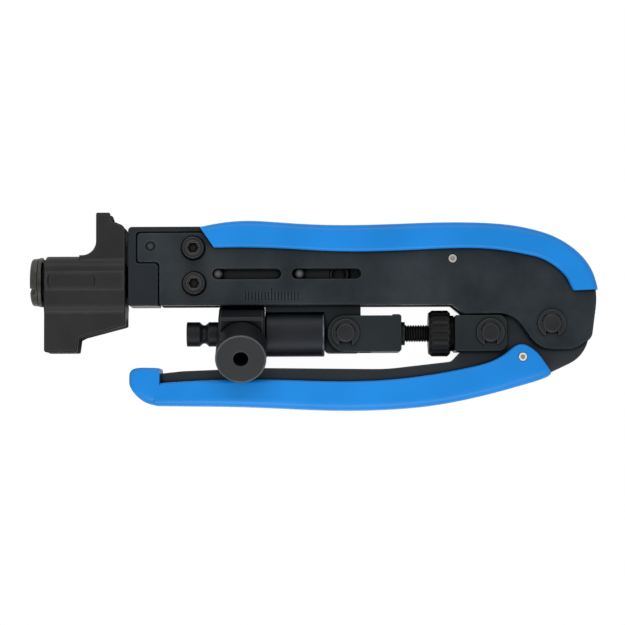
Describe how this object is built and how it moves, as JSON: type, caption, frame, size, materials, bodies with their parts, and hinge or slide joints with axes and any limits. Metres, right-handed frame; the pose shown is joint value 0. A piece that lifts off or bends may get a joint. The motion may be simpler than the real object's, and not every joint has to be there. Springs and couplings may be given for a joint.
{
  "type": "cable compression tool",
  "caption": "Hand tool that presses connectors on to coaxial cable: a lever link drives a two-tip swivel head towards a turning two-lobe anvil.",
  "frame": {"origin": "centre of the long tip's end face, on the tool's working axis", "axes": "+X along the tool towards the handle's pin, +Y across it towards the fixed grip, +Z out of the front, towards the broad tip"},
  "size_m": [0.1763, 0.0617, 0.0307],
  "materials": {
    "black_steel": "satin",
    "cast_metal": "matt",
    "blue_vinyl": "satin",
    "dark_fixings": "satin",
    "bright_rivet": "polished"
  },
  "bodies": {
    "frame": {"front_side_plate": "black_steel", "rear_side_plate": "black_steel", "head_block": "black_steel", "frame_spacer": "black_steel", "upper_grip": "blue_vinyl", "upper_plate_screw": "dark_fixings", "lower_plate_screw": "dark_fixings", "head_dowel": "dark_fixings", "frame_rivet": "bright_rivet", "handle_pivot_pin": "dark_fixings", "handle_pivot_front_ring": "dark_fixings", "handle_pivot_rear_ring": "dark_fixings", "turret_screw": "dark_fixings", "turret_washer": "dark_fixings"},
    "turret": {"anvil_turret": "cast_metal"},
    "carriage": {"carriage_slide": "black_steel", "front_guide_pin": "dark_fixings", "rear_guide_pin": "dark_fixings", "barrel": "black_steel"},
    "swivel_head": {"swivel_block": "black_steel", "swivel_pin": "dark_fixings", "long_tip": "black_steel", "broad_tip": "black_steel"},
    "link_front": {"front_clevis": "black_steel", "link_front_pivot_pin": "dark_fixings", "link_front_pivot_front_ring": "dark_fixings", "link_front_pivot_rear_ring": "dark_fixings"},
    "link_rear": {"rear_clevis": "black_steel", "link_rear_pivot_pin": "dark_fixings", "link_rear_pivot_front_ring": "dark_fixings", "link_rear_pivot_rear_ring": "dark_fixings"},
    "adjuster": {"adjusting_screw": "dark_fixings", "thumb_wheel": "black_steel"},
    "handle": {"handle_plate": "black_steel", "lower_grip": "blue_vinyl", "grip_rivet": "bright_rivet"}
  },
  "joints": [
    {"name": "handle_open", "type": "hinge", "parent": "frame", "child": "handle", "pos_m": [0.11343, 0.00272, 0], "axis": [0, 0, 1], "range_deg": [0, 60]},
    {"name": "carriage_slide", "type": "slide", "parent": "frame", "child": "carriage", "axis": [1, 0, 0], "range_m": [0, 0.0132]},
    {"name": "link_swing", "type": "hinge", "parent": "carriage", "child": "link_front", "pos_m": [0.04951, 0, 0], "axis": [0, 0, 1], "range_deg": [-20.97, 0]},
    {"name": "link_length", "type": "slide", "parent": "link_front", "child": "link_rear", "axis": [1, 0, 0], "range_m": [-0.0004, 0.0004]},
    {"name": "wheel_turn", "type": "hinge", "parent": "link_rear", "child": "adjuster", "pos_m": [0.09446, 0, 0], "axis": [1, 0, 0], "range_deg": [-190, 190]},
    {"name": "turret_turn", "type": "hinge", "parent": "frame", "child": "turret", "pos_m": [-0.03, 0.01643, 0], "axis": [1, 0, 0], "continuous": true},
    {"name": "head_swivel", "type": "hinge", "parent": "carriage", "child": "swivel_head", "pos_m": [0.01735, 0, 0], "axis": [0, -0.9063, -0.4226], "range_deg": [0, 90]}
  ],
  "couplings": [
    {"joint": "carriage_slide", "follows": "handle_open", "m_per_rad": 0.012412},
    {"joint": "link_swing", "follows": "handle_open", "ratio": -0.34276},
    {"joint": "wheel_turn", "follows": "link_length", "rad_per_m": 7854}
  ]
}
